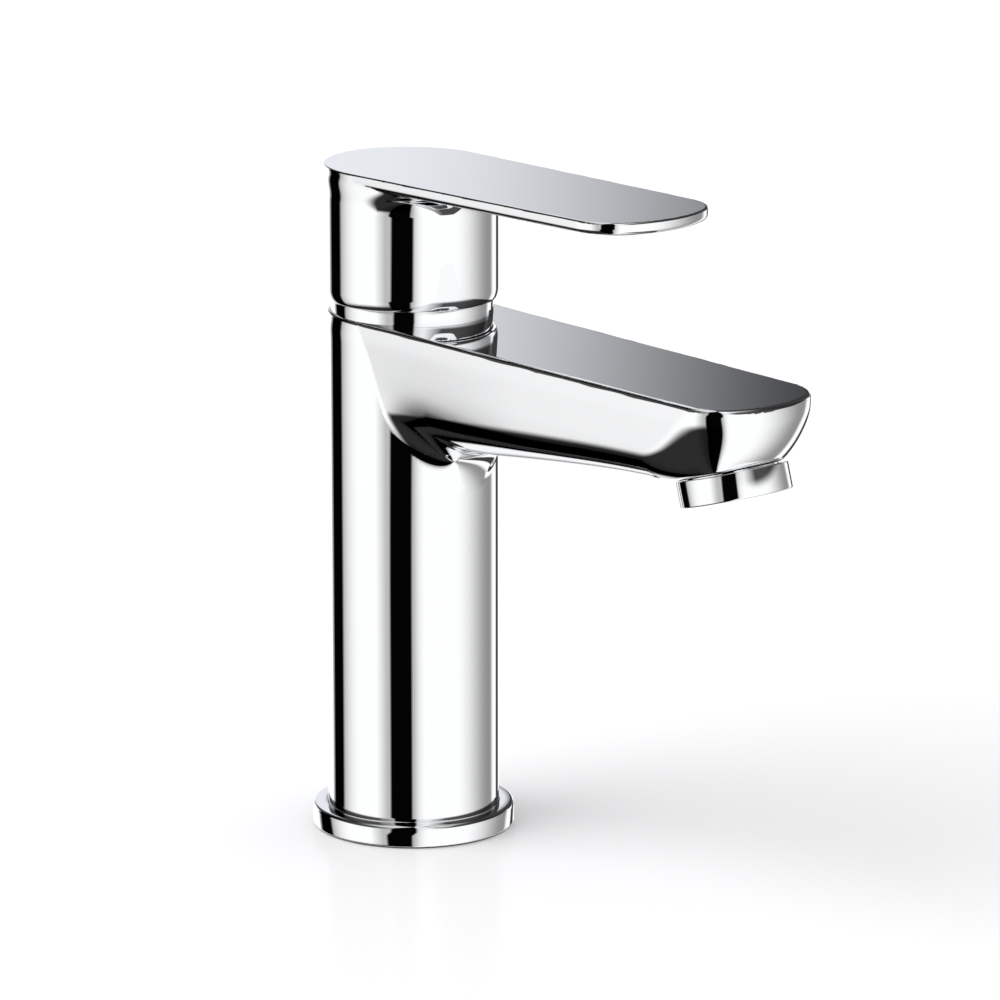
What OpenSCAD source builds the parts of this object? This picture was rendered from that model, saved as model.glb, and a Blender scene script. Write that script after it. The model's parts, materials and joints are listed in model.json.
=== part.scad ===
// Single-lever basin mixer with a swept spout. Millimetres.
// Origin: column axis at the deck. +Z is up, +X points along the spout.

/* [Column] */
// Diameter of the round column
column_d = 45; // [42:0.5:60]
// Height of the body's top plane at the column axis
body_h = 137.6; // [125:0.1:180]
// Fall of the top plane towards the spout tip, in degrees
top_fall = 2.3; // [0:0.1:4]
// Wall of the hollow lower column
column_wall = 3.5; // [2.5:0.1:5]
// Bevel of the column's top edge, which the lifted lever's skirt passes
top_bevel = 1.6; // [1.2:0.1:2]

/* [Spout] */
// Distance from the column axis to the spout tip
spout_reach = 130.4; // [110:0.1:165]
// Width of the spout at its root
spout_root_w = 44.8; // [39:0.1:44.9]
// Width of the spout where the end rounding begins
spout_tip_w = 40.8; // [36:0.1:42]
// Bevel of the spout's two long top edges
spout_bevel = 1.3; // [1:0.1:2]
// Radius of the two end corners, seen from above
spout_corner_r = 12.2; // [8:0.1:15]
// Depth of the body from its top plane to the spout's underside, at the column axis
spout_depth = 34; // [32:0.1:40]
// Rise of the underside towards the tip, in degrees
under_rise = 3.4; // [0:0.1:6]
// Radius of the two long lower edges
lower_edge_r = 6; // [3:0.5:8]
// Radius of the underside's belly, across the spout
belly_r = 44; // [36:1:120]
// Radius of the blend between the column and the underside
blend_r = 12; // [6:0.5:16]
// Wall under and beside the water channel
spout_wall = 5; // [3:0.1:7]

/* [Aerator] */
// Outside diameter of the aerator collar
aerator_d = 28.6; // [25:0.1:30]
// Height of the collar below the spout
aerator_h = 7; // [5:0.1:10]
// Forward tilt of the water jet, in degrees
aerator_tilt = 15.7; // [0:0.1:20]
// Thread diameter of the aerator
aerator_thread_d = 24; // [20:0.5:24]

/* [Base] */
// Outside diameter of the base flange
flange_d = 53; // [50:0.5:64]
// Height of the flange's top above the deck
flange_h = 6; // [5:0.1:9]
// Thickness of the flange lip that carries the column
flange_lip = 1.6; // [1.2:0.1:2.5]
// Height that the gasket stands out below the flange
gasket_proud = 0.4; // [0.2:0.1:1]

/* [Supply] */
// Distance between the two inlet axes
inlet_spacing = 17; // [16:0.1:18]
// Distance of the inlets in front of the column axis
inlet_x = 5; // [3:0.1:6]
// Thread diameter of the hose inlets
inlet_thread_d = 10; // [8:0.5:10]
// Width across flats of the inlet adapters
inlet_hex = 13; // [12:0.1:14]
// Distance between the two stud holes
stud_spacing = 22; // [20:0.5:23]
// Thread diameter of the stud holes
stud_d = 6; // [5:0.5:6]

/* [Lever] */
// Outside diameter of the lever's skirt
skirt_d = 45.2; // [44:0.1:48]
// Distance from the column axis to the lever tip
lever_reach = 94.3; // [75:0.1:120]
// Width of the blade where the end rounding begins
lever_tip_w = 41.6; // [36:0.1:43]
// Radius of the blade's two end corners
lever_corner_r = 13.5; // [8:0.1:16]
// Height of the lever above the skirt rim, at the column axis
lever_h = 35; // [34:0.1:45]
// Fall of the lever's top plane towards its tip, in degrees
lever_fall = 1.2; // [0:0.1:4]
// Thickness of the blade
blade_t = 3.2; // [2.5:0.1:5]
// Gap between the body's top plane and the skirt rim, at the column axis
rim_gap = 3.3; // [3:0.1:6]

/* [Cartridge] */
// Diameter of the cartridge housing
cartridge_d = 35; // [33:0.5:35]
// Height of the lever's pivot above the ball end of the spindle
ball_arm = 9; // [8:0.1:9.5]
// Width of the square spindle
spindle_w = 6.9; // [6:0.1:7]

/* [Hidden] */

chrome = [0.82, 0.83, 0.85];
brass = [0.80, 0.66, 0.36];
ceramic = [0.93, 0.92, 0.88];
rubber = [0.12, 0.12, 0.13];
plastic = [0.90, 0.90, 0.86];

$fn = 96;
far = 400;               // longer than the whole tap
fit_gap = 0.1;           // clearance of a sliding or threaded fit, on the radius
loose_gap = 0.3;         // clearance between pieces that only pass each other
arc_steps = 8;           // straight steps in one computed arc

// Base
column_r = column_d / 2;
column_z = gasket_proud + flange_lip;    // the column stands on the flange's lip
column_bore_r = column_r - column_wall;
flange_r = max(flange_d / 2, column_r + 4);
flange_edge = 1;
gasket_w = 2.4;
gasket_r = (column_r + flange_r + fit_gap) / 2;   // middle of the gasket's groove
gasket_t = gasket_proud + 2;
o_ring_t = 1.7;          // section of the small O-rings, squeezed

// Heights inside the column, hung from the body's top plane
seat_z = body_h - 31.6;                  // floor that the cartridge stands on
web_t = 26;                              // solid web under the cartridge
web_z = seat_z - web_t;
boss_h = 8;
chamber_top_z = body_h - 10.1;           // step that carries the housing's flange
rim_z = body_h + rim_gap;                // lowest edge of the lever's skirt
pivot_z = rim_z - 10;                    // axis that the lever lifts about
ball_z = pivot_z - ball_arm;

// Cartridge
chamber_r = cartridge_d / 2 + 0.5;
nut_r = chamber_r + 1;                   // thread of the clamping nut and dome ring
housing_r = cartridge_d / 2;
housing_in_r = housing_r - 1.7;
flange_ring_t = 2;
neck_r = housing_r - 2.3;
yoke_r = neck_r - 1.4;
base_t = 2.8;
base_z = seat_z + 0.6;
disc_t = 3;
fixed_disc_z = base_z + base_t;
moving_disc_z = fixed_disc_z + disc_t;
carrier_z = moving_disc_z + disc_t;
carrier_t = 4;
fixed_disc_r = housing_in_r - 0.3;
moving_disc_r = 11.5;
port_x = 4.5;
port_y = 6.5;
port_r = 2.6;
seal_r = 5;
hub_r = 6;
ball_r = 3;
hub_top_z = ball_z + 0.6;
yoke_z = hub_top_z + 0.5;
yoke_flange_t = 2.2;
yoke_top_z = pivot_z + 6.1;
shoulder_z = yoke_z + yoke_flange_t + 0.8;
neck_top_z = pivot_z + 3.9;
leg_y = 10.8;            // inner face of the yoke's guide legs
slot_w = spindle_w + 0.5;
pin_r = 1.5;
pin_gap = 0.05;

// Dome ring and lever
dome_r = 23.2;           // sphere about the pivot
dome_wall = 1.6;
dome_band_r = column_r - 1.4;
dome_seat_z = body_h - 1.4;
dome_hole_r = 14.45;
skirt_r = skirt_d / 2;
socket_r = dome_r + 0.375;               // inside of the skirt, about the pivot
rim_round = 3;
lever_z = rim_z + lever_h;               // lever's top plane at the column axis
boss_r = 8.5;
cap_t = 4.4;             // roof over the pocket round the boss
pocket_r = skirt_r - 3.1;
spindle_top_z = lever_z - 7.9;
grub_z = spindle_top_z - 7.5;
grub_r = 2.5;
plug_r = 3.1;
blade_blend_r = 4.5;

// Spout and aerator
spout_corner_x = spout_reach - 13.5;
lever_corner_x = lever_reach - 14.9;
under_z = body_h - spout_depth;          // underside, extended back to the axis
nose_r = 17.3;                           // upright rounding of the spout's nose
nose_drop = 3.4;                         // top plane to the widest point of the nose
face_x = spout_reach - 17.3;             // centre of the aerator's face
face_back_x = face_x - aerator_d / 2 * cos(aerator_tilt) - 0.5;
face_back_z = under_z + face_back_x * tan(under_rise);
face_z = face_back_z + (face_x - face_back_x) * tan(aerator_tilt);
chin_x = spout_reach - 3.8;
chin_z = face_z + (chin_x - face_x) * tan(aerator_tilt);
nose_z = body_h - spout_reach * tan(top_fall) - nose_drop;
channel_h = 13;
aerator_r = aerator_d / 2;
thread_r = aerator_thread_d / 2;
socket_depth = 9;
aerator_bore_r = thread_r - 1.7;
thread_len = 7;

// Points on a circle from angle a0 to a1
function arc(c, r, a0, a1, n = arc_steps) =
    [for (i = [0:n]) let (a = a0 + (a1 - a0) * i / n) [c[0] + r * cos(a), c[1] + r * sin(a)]];

function mirrored(points) =
    [for (i = [len(points) - 1:-1:0]) [points[i][0], -points[i][1]]];

// A blade seen from above: straight sides, two round corners and a shallow nose arc
module blade_plan(root_w, corner_x, tip_w, corner_r, tip_x) {
    corner_y = tip_w / 2 - corner_r;
    t = tip_x - corner_x;
    arc_r = (t * t + corner_y * corner_y - corner_r * corner_r) / (2 * (t - corner_r));
    nose_a = atan2(corner_y, arc_r - t);
    side_a = 90 - atan((root_w - tip_w) / 2 / corner_x);
    nose = arc([tip_x - arc_r, 0], arc_r, 0, nose_a, 4);
    corner = arc([corner_x, corner_y], corner_r, nose_a + 5, side_a);
    half = concat(nose, corner, [[0, root_w / 2]]);
    polygon(concat(half, mirrored([for (i = [1:len(half) - 1]) half[i]])));
}

// Everything above a plane that crosses the axis at height z and falls towards +X
module above(z, fall) {
    translate([0, 0, z]) rotate([0, fall, 0])
        translate([-far / 2, -far / 2, 0]) cube([far, far, far]);
}

// Wedge that bevels the column's top edge, behind the spout
module top_edge() {
    intersection() {
        translate([0, 0, body_h]) rotate([0, top_fall, 0]) rotate_extrude() polygon([
            [column_r - top_bevel - 1, 1], [column_r + 2, 1], [column_r + 2, -top_bevel - 2]
        ]);
        translate([-far, -far / 2, 0]) cube([far + 5, far, far]);
    }
}

// Wedges that bevel the spout's two long top edges
module side_edges() {
    side_a = atan((spout_root_w - spout_tip_w) / 2 / spout_corner_x);
    for (side = [-1, 1])
        translate([0, 0, body_h]) rotate([0, top_fall, 0])
            translate([0, side * spout_root_w / 2, 0]) rotate([90, 0, 90 - side * side_a])
            linear_extrude(height = spout_corner_x) polygon([
                [-side * (spout_bevel + 1), 1], [side * 2, 1], [side * 2, -spout_bevel - 2]
            ]);
}

// A ring with a rectangular section
module ring(r_in, r_out, z, h) {
    translate([0, 0, z]) difference() {
        cylinder(r = r_out, h = h);
        translate([0, 0, -1]) cylinder(r = r_in, h = h + 2);
    }
}

// An O-ring squeezed flat against the walls at r_in and r_out
module squeezed_ring(r_in, r_out, z) {
    w = r_out - r_in;
    translate([0, 0, z]) rotate_extrude()
        translate([r_in + w / 2, 0]) intersection() {
            circle(r = w * 0.58, $fn = 32);
            square([w, 2 * w], center = true);
        }
}

// Repeats its children for the hot side (-Y) and the cold side (+Y)
module both_sides(x, y) {
    for (side = [-1, 1]) translate([x, side * y, 0]) children();
}

// Side view of the spout: underside, tilted aerator face, chin and round nose
module spout_profile() {
    chin_a = asin((chin_z - nose_z) / nose_r);
    nose_x = chin_x - nose_r * cos(chin_a);
    polygon(concat(
        [[0, under_z], [face_back_x, face_back_z]],
        arc([nose_x, nose_z], nose_r, chin_a, 0),
        [[nose_x + nose_r, body_h + 5], [0, body_h + 5]]
    ));
}

// Cross-section of the spout: upright sides, two rounded lower edges and a convex belly
module spout_section() {
    w = spout_root_w / 2;
    r = lower_edge_r;
    mid = [0, under_z + belly_r];
    edge = [w - r, mid[1] - sqrt((belly_r - r) * (belly_r - r) - (w - r) * (w - r))];
    join_a = atan2(edge[1] - mid[1], edge[0]);
    polygon(concat(
        arc(mid, belly_r, -180 - join_a, join_a, 10), arc(edge, r, join_a, 0, 5),
        [[w, body_h + 20], [-w, body_h + 20]], arc([-edge[0], edge[1]], r, 180, 180 - join_a, 5)
    ));
}

module spout_solid() {
    intersection() {
        translate([0, 0, under_z - 5]) linear_extrude(height = spout_depth + 10)
            blade_plan(spout_root_w, spout_corner_x, spout_tip_w, spout_corner_r, spout_reach);
        translate([0, spout_root_w, 0]) rotate([90, 0, 0])
            linear_extrude(height = 2 * spout_root_w) spout_profile();
        translate([0, 0, under_z]) rotate([0, -under_rise, 0]) translate([-10, 0, -under_z])
            rotate([90, 0, 90]) linear_extrude(height = far / 2) spout_section();
    }
}

// Hollow blend round the front of the column, below the spout
module under_blend() {
    start_r = column_r - 0.3;
    foot_z = under_z + (column_r + blend_r) * tan(under_rise) - blend_r;
    intersection() {
        rotate_extrude() difference() {
            translate([0, foot_z]) square([start_r + blend_r, blend_r + 6]);
            translate([start_r + blend_r, foot_z]) circle(r = blend_r);
        }
        translate([2, 0, 0]) linear_extrude(height = far)
            blade_plan(spout_root_w - 14, spout_corner_x, spout_tip_w - 12,
                       spout_corner_r, spout_reach);
    }
}

// The cored water channel, parallel to the underside
module spout_channel() {
    w = spout_tip_w / 2 - spout_wall + 1;
    c = 4;
    translate([0, 0, under_z]) rotate([0, -under_rise, 0])
        translate([chamber_r - 2, 0, spout_wall]) rotate([90, 0, 90])
        linear_extrude(height = face_x - chamber_r - 3) polygon([
            [-w, c], [-w + c, 0], [w - c, 0], [w, c],
            [w, channel_h - c], [w - c, channel_h], [c - w, channel_h], [-w, channel_h]
        ]);
}

// Puts its children on the aerator's axis: z = 0 at the spout's face, +z into the spout
module on_aerator_axis() {
    translate([face_x, 0, face_z]) rotate([0, -aerator_tilt, 0]) children();
}

module inlet_drillings() {
    neck_bore_r = inlet_thread_d / 2 + 1 + fit_gap / 2;
    both_sides(inlet_x, inlet_spacing / 2) {
        translate([0, 0, web_z - 1]) cylinder(r = neck_bore_r, h = 6);
        translate([0, 0, web_z]) cylinder(r = 3.5, h = web_t - 8);
    }
    both_sides(port_x, port_y)
        translate([0, 0, seat_z - 11]) cylinder(r = port_r + 0.2, h = 12);
}

module tap_body() {
    color(chrome) difference() {
        union() {
            translate([0, 0, column_z]) cylinder(r = column_r, h = body_h + 10 - column_z);
            spout_solid();
            under_blend();
        }
        above(body_h, top_fall);
        top_edge();
        side_edges();
        // hollow lower column round the two stud bosses
        difference() {
            translate([0, 0, -1]) cylinder(r = column_bore_r, h = web_z + 1);
            both_sides(-10, stud_spacing / 2)
                translate([0, 0, web_z - boss_h]) cylinder(r = stud_d / 2 + 3, h = boss_h + 1);
        }
        both_sides(-10, stud_spacing / 2)
            translate([0, 0, web_z - boss_h - 1]) cylinder(r = stud_d / 2, h = 21);
        inlet_drillings();
        // cartridge chamber, its two peg holes, and the thread above it
        translate([0, 0, seat_z]) cylinder(r = chamber_r, h = 60);
        both_sides(-11, 9) translate([0, 0, seat_z - 2.5]) cylinder(r = 1.5, h = 3);
        translate([0, 0, chamber_top_z]) cylinder(r = nut_r, h = 40);
        translate([0, 0, dome_seat_z]) cylinder(r = dome_band_r + fit_gap, h = 40);
        spout_channel();
        on_aerator_axis() translate([0, 0, -5]) cylinder(r = thread_r, h = socket_depth + 5);
    }
}

module base_flange() {
    color(chrome) rotate_extrude() difference() {
        polygon([
            [column_r - 2, gasket_proud], [flange_r - flange_edge / 2, gasket_proud],
            [flange_r, gasket_proud + flange_edge / 2], [flange_r, flange_h - flange_edge],
            [flange_r - 0.3 * flange_edge, flange_h - 0.3 * flange_edge],
            [flange_r - flange_edge, flange_h], [column_r - 2, flange_h]
        ]);
        translate([0, column_z]) square([column_r + fit_gap, flange_h]);
        translate([gasket_r - gasket_w / 2, 0]) square([gasket_w, gasket_t]);
        translate([column_r, column_z + 0.8]) square([o_ring_t, o_ring_t + 0.4]);
    }
}

module base_gasket() {
    color(rubber) ring(gasket_r - gasket_w / 2, gasket_r + gasket_w / 2, 0, gasket_t);
}

module flange_o_ring() {
    color(rubber) squeezed_ring(column_r, column_r + o_ring_t, column_z + 0.8 + o_ring_t / 2 + 0.2);
}

// Hexagon adapter that takes a hose end and screws into the web
module inlet_adapter(side) {
    seal_t = 1.6;
    hex_h = 8;
    neck_r = inlet_thread_d / 2 + 1;
    color(brass) translate([inlet_x, side * inlet_spacing / 2, web_z - seal_t]) difference() {
        union() {
            translate([0, 0, -hex_h]) rotate([0, 0, 30])
                cylinder(r = inlet_hex / 2 / cos(30), h = hex_h, $fn = 6);
            cylinder(r = neck_r, h = seal_t + 4.5);
        }
        translate([0, 0, -hex_h - 1]) cylinder(r = inlet_thread_d / 2 - 0.4, h = hex_h + 1);
        translate([0, 0, -2]) cylinder(r = 3.2, h = 20);
    }
}

module inlet_adapter_hot() { inlet_adapter(-1); }

module inlet_adapter_cold() { inlet_adapter(1); }

module inlet_seals() {
    r_in = inlet_thread_d / 2 + 1 + fit_gap;
    color(rubber) both_sides(inlet_x, inlet_spacing / 2) ring(r_in, r_in + 1.3, web_z - 1.6, 1.6);
}

module cartridge_base() {
    color(plastic) difference() {
        union() {
            translate([0, 0, base_z]) cylinder(r = housing_r - 0.3, h = base_t);
            both_sides(-11, 9) translate([0, 0, seat_z - 2]) cylinder(r = 1.4, h = 3);
        }
        both_sides(port_x, port_y) {
            translate([0, 0, seat_z]) cylinder(r = port_r, h = 10);
            translate([0, 0, seat_z - 1]) cylinder(r = seal_r, h = 3);
        }
    }
}

module port_seals() {
    color(rubber) both_sides(port_x, port_y) ring(port_r + 0.3, seal_r, seat_z, 2);
}

module fixed_disc() {
    color(ceramic) difference() {
        translate([0, 0, fixed_disc_z]) cylinder(r = fixed_disc_r, h = disc_t);
        both_sides(port_x, port_y) translate([0, 0, fixed_disc_z - 1]) cylinder(r = port_r, h = disc_t + 2);
    }
}

// The mixing pocket opens to the back and sides and uncovers the ports as the disc slides
module moving_disc() {
    color(ceramic) difference() {
        translate([0, 0, moving_disc_z]) cylinder(r = moving_disc_r, h = disc_t);
        translate([-moving_disc_r - 1, -6, moving_disc_z - 1]) cube([8, 12, 2.6]);
        translate([-4, 0, moving_disc_z - 1]) cylinder(r = 5.4, h = 2.6);
    }
}

module disc_carrier() {
    color(plastic) difference() {
        union() {
            intersection() {
                translate([0, 0, carrier_z]) cylinder(r = moving_disc_r, h = carrier_t);
                translate([-far / 2, -leg_y + 0.2, 0]) cube([far, 2 * (leg_y - 0.2), far]);
            }
            translate([0, 0, carrier_z]) cylinder(r = hub_r, h = hub_top_z - carrier_z);
        }
        translate([0, 0, ball_z - ball_r - 0.6]) cylinder(r = ball_r + 0.25, h = 20);
    }
}

module cartridge_housing() {
    color(plastic) difference() {
        union() {
            translate([0, 0, fixed_disc_z]) cylinder(r = housing_r, h = chamber_top_z - fixed_disc_z + 0.5);
            translate([0, 0, chamber_top_z]) cylinder(r = nut_r - loose_gap, h = flange_ring_t);
            translate([0, 0, chamber_top_z]) cylinder(r = neck_r, h = neck_top_z - chamber_top_z);
        }
        translate([0, 0, fixed_disc_z - 1]) cylinder(r = housing_in_r, h = shoulder_z - fixed_disc_z + 1);
        cylinder(r = yoke_r + fit_gap, h = far);
        ring(housing_r - 0.9, housing_r + 5, chamber_top_z - 2.1, 1.8);
        // side windows that let the mixed water out
        for (a = [-50, 0, 50, 130, 180, 230]) rotate([0, 0, a])
            translate([10, -4, moving_disc_z - 1]) cube([10, 8, 8]);
    }
}

module housing_o_ring() {
    color(rubber) squeezed_ring(housing_r - 0.9, chamber_r, chamber_top_z - 1.2);
}

module slide_ring() {
    color(plastic) ring(yoke_r + 0.3, housing_in_r - 0.2, shoulder_z - 0.7, 0.6);
}

module swivel_yoke() {
    color(plastic) difference() {
        union() {
            translate([0, 0, yoke_z]) cylinder(r = yoke_r, h = yoke_top_z - yoke_z);
            translate([0, 0, yoke_z]) cylinder(r = housing_in_r - 0.6, h = yoke_flange_t);
            // guide legs beside the disc carrier
            intersection() {
                translate([0, 0, carrier_z + 0.6]) cylinder(r = yoke_r - 0.3, h = yoke_z - carrier_z);
                both_sides(-5, leg_y + 5) translate([0, -5, carrier_z]) cube([10, 10, 20]);
            }
        }
        // the spindle leans back above the pivot and forward below it
        translate([-20, -slot_w / 2, pivot_z - 4.2]) cube([24.3, slot_w, 20]);
        translate([-4.2, -slot_w / 2, yoke_z - 1]) cube([13, slot_w, 6]);
        translate([0, 20, pivot_z]) rotate([90, 0, 0]) cylinder(r = pin_r, h = 40);
    }
}

module pivot_pin() {
    half = sqrt(yoke_r * yoke_r - pin_r * pin_r) - 0.4;
    color("silver") translate([0, half, pivot_z]) rotate([90, 0, 0]) cylinder(r = pin_r, h = 2 * half);
}

module spindle() {
    w = spindle_w / 2;
    color(brass) difference() {
        union() {
            translate([-w, -w, pivot_z + 2.6]) cube([spindle_w, spindle_w, spindle_top_z - pivot_z - 2.6]);
            translate([0, w, pivot_z]) rotate([90, 0, 0]) cylinder(r = 4, h = spindle_w);
            translate([0, 0, ball_z]) cylinder(r = 2.2, h = ball_arm);
            translate([0, 0, ball_z]) sphere(r = ball_r);
        }
        translate([0, 20, pivot_z]) rotate([90, 0, 0]) cylinder(r = pin_r + pin_gap, h = 40);
    }
}

module cartridge_nut() {
    z = chamber_top_z + flange_ring_t;
    h = 4.8;
    color(brass) difference() {
        ring(neck_r + 0.2, nut_r - fit_gap, z, h);
        // four notches for the ring spanner
        for (a = [45:90:315]) rotate([0, 0, a]) translate([neck_r - 1, -2, z + h - 2]) cube([8, 4, 4]);
    }
}

module dome_ring() {
    thread_h = 1.5;
    thread_in_r = nut_r - fit_gap - 1.3;
    color(chrome) rotate_extrude() difference() {
        union() {
            intersection() {
                translate([0, pivot_z]) circle(r = dome_r);
                translate([0, dome_seat_z]) square([dome_band_r, 30]);
            }
            translate([0, dome_seat_z - thread_h]) square([nut_r - fit_gap, thread_h + 1]);
        }
        translate([-1, 0]) square([dome_hole_r + 1, far]);
        intersection() {
            translate([0, pivot_z]) circle(r = dome_r - dome_wall);
            translate([-1, 0]) square([thread_in_r + 1, far]);
        }
    }
}

// Skirt of the lever: a plain drum with a rounded lower rim
module skirt_solid() {
    flat = 0.9;
    rotate_extrude() polygon(concat(
        [[0, rim_z], [skirt_r - flat, rim_z]],
        [for (i = [1:6]) let (a = i * 15)
            [skirt_r - flat + flat * sin(a), rim_z + rim_round * (1 - cos(a))]],
        [[skirt_r, lever_z + 5], [0, lever_z + 5]]
    ));
}

module blade_solid() {
    intersection() {
        translate([0, 0, rim_z]) linear_extrude(height = lever_h + 5)
            blade_plan(skirt_d - 0.2, lever_corner_x, lever_tip_w, lever_corner_r, lever_reach);
        above(lever_z - blade_t, lever_fall);
    }
}

// Small hollow blend where the blade leaves the skirt
module blade_blend() {
    start_r = skirt_r - 0.2;
    foot_z = lever_z - blade_t - (skirt_r + blade_blend_r) * tan(lever_fall) - blade_blend_r;
    intersection() {
        rotate_extrude() difference() {
            translate([0, foot_z]) square([start_r + blade_blend_r, blade_blend_r + 2]);
            translate([start_r + blade_blend_r, foot_z]) circle(r = blade_blend_r);
        }
        translate([8, -skirt_r + 3, 0]) cube([far, skirt_d - 6, far]);
    }
}

module handle() {
    color(chrome) difference() {
        union() {
            skirt_solid();
            blade_solid();
            blade_blend();
        }
        above(lever_z, lever_fall);
        // socket that rolls over the dome ring
        translate([0, 0, pivot_z]) sphere(r = socket_r, $fn = 96);
        difference() {
            translate([0, 0, rim_z + 4]) cylinder(r = pocket_r, h = lever_h - 4 - cap_t);
            cylinder(r = boss_r, h = far);
        }
        // square socket for the spindle, and the grub screw's two holes
        translate([-spindle_w / 2 - fit_gap, -spindle_w / 2 - fit_gap, pivot_z])
            cube([spindle_w + 2 * fit_gap, spindle_w + 2 * fit_gap, spindle_top_z - pivot_z]);
        translate([0, 0, grub_z]) rotate([0, -90, 0]) cylinder(r = grub_r, h = boss_r + 2);
        translate([-pocket_r + 2, 0, grub_z]) rotate([0, -90, 0]) cylinder(r = plug_r, h = 20);
    }
}

module grub_screw() {
    start = spindle_w / 2 + 0.02;
    color("dimgray") translate([-start, 0, grub_z]) rotate([0, -90, 0]) difference() {
        cylinder(r = grub_r - 0.05, h = 5.4);
        translate([0, 0, 3]) cylinder(r = 1.45, h = 5, $fn = 6);
    }
}

module indicator_plug() {
    color("lightgray") intersection() {
        translate([-pocket_r + 0.5, 0, grub_z]) rotate([0, -90, 0]) cylinder(r = plug_r - 0.05, h = 6);
        cylinder(r = skirt_r + 0.15, h = far);
    }
}

module aerator_housing() {
    color(chrome) on_aerator_axis() rotate_extrude() polygon([
        [aerator_bore_r, thread_len], [thread_r - fit_gap, thread_len],
        [thread_r - fit_gap, -0.2], [aerator_r - 0.3, -0.2], [aerator_r, -0.5],
        [aerator_r, 0.5 - aerator_h], [aerator_r - 0.5, -aerator_h],
        [aerator_bore_r - 0.1, -aerator_h], [aerator_bore_r - 0.7, 0.7 - aerator_h],
        [aerator_bore_r - 0.7, 1.4 - aerator_h], [aerator_bore_r, 1.8 - aerator_h]
    ]);
}

module aerator_gasket() {
    color(rubber) on_aerator_axis()
        ring(aerator_bore_r - 2, thread_r - fit_gap, thread_len, socket_depth - thread_len);
}

module flow_regulator() {
    color(plastic) on_aerator_axis() difference() {
        translate([0, 0, thread_len - 3]) cylinder(r = aerator_bore_r - 0.1, h = 2.8);
        for (a = [0:30:330]) rotate([0, 0, a]) translate([aerator_bore_r - 3.5, 0, 0])
            cylinder(r = 0.9, h = 12);
    }
}

module aerator_insert() {
    wall = 1.2;
    color(plastic) on_aerator_axis() difference() {
        translate([0, 0, 3.2 - aerator_h]) cylinder(r = aerator_bore_r - 0.1, h = aerator_h + thread_len - 6.4);
        translate([0, 0, 3.2 - aerator_h - 1]) cylinder(r = aerator_bore_r - wall, h = 6);
        for (a = [0:45:315]) rotate([0, 0, a]) translate([5, 0, -2]) cylinder(r = 1, h = 12);
    }
}

module aerator_screen() {
    pitch = 3.2;
    rows = 2;
    color("whitesmoke") on_aerator_axis() difference() {
        translate([0, 0, 1.9 - aerator_h]) cylinder(r = aerator_bore_r - 0.1, h = 1.2);
        for (i = [-rows:rows], j = [-rows:rows])
            if (abs(i + j) <= rows)
                translate([(i + j / 2) * pitch, j * pitch * sin(60), -aerator_h])
                    cylinder(r = pitch * 0.42, h = 5, $fn = 6);
    }
}

tap_body();
base_flange();
base_gasket();
flange_o_ring();
inlet_adapter_hot();
inlet_adapter_cold();
inlet_seals();
cartridge_base();
port_seals();
fixed_disc();
moving_disc();
disc_carrier();
cartridge_housing();
housing_o_ring();
slide_ring();
swivel_yoke();
pivot_pin();
spindle();
cartridge_nut();
dome_ring();
handle();
grub_screw();
indicator_plug();
aerator_housing();
aerator_gasket();
flow_regulator();
aerator_insert();
aerator_screen();
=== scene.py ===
# %% [markdown]
# # A single-lever basin mixer in polished chrome
#
# This lesson dresses a finished CAD model. The CAD nodes hold every size and every joint, and they never
# move. We replace the pieces that people see with smooth high-resolution meshes, give each remaining node a
# procedural material, and build a small studio whose reflections make chrome look like chrome.
#
# Lengths are worked out in millimetres, because a tap is drawn in millimetres. `MM` turns them into metres.

# %% Load the frame
import json
import math

import bmesh
import bpy
import numpy as np
from mathutils import Matrix, Vector


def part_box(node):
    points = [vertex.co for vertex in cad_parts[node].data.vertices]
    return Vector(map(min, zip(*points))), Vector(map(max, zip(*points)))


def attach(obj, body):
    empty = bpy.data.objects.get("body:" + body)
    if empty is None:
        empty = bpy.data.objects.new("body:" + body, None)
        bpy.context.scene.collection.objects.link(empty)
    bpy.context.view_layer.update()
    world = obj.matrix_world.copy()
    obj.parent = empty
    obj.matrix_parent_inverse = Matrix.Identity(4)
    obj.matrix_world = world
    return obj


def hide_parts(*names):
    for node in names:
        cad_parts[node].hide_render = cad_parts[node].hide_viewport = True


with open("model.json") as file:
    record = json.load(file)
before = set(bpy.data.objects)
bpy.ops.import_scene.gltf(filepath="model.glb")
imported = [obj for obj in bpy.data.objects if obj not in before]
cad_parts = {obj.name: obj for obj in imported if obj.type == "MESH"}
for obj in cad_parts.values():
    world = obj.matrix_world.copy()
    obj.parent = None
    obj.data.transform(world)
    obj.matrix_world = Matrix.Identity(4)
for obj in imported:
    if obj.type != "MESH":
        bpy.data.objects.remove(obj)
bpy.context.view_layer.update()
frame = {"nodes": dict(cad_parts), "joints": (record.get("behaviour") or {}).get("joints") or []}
MM = 0.001
print("nodes:", len(frame["nodes"]))

# %% [markdown]
# ## Sizes from the frame
#
# A piece that copies a CAD node has to keep its size, so we measure the nodes instead of typing numbers.
# The column stands on the flange, the skirt is the lever's round drum, and the pivot is the point that
# the lever lifts about.

# %% Measure the nodes
def box_mm(node):
    lo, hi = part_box(node)
    return np.array(lo) / MM, np.array(hi) / MM


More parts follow.
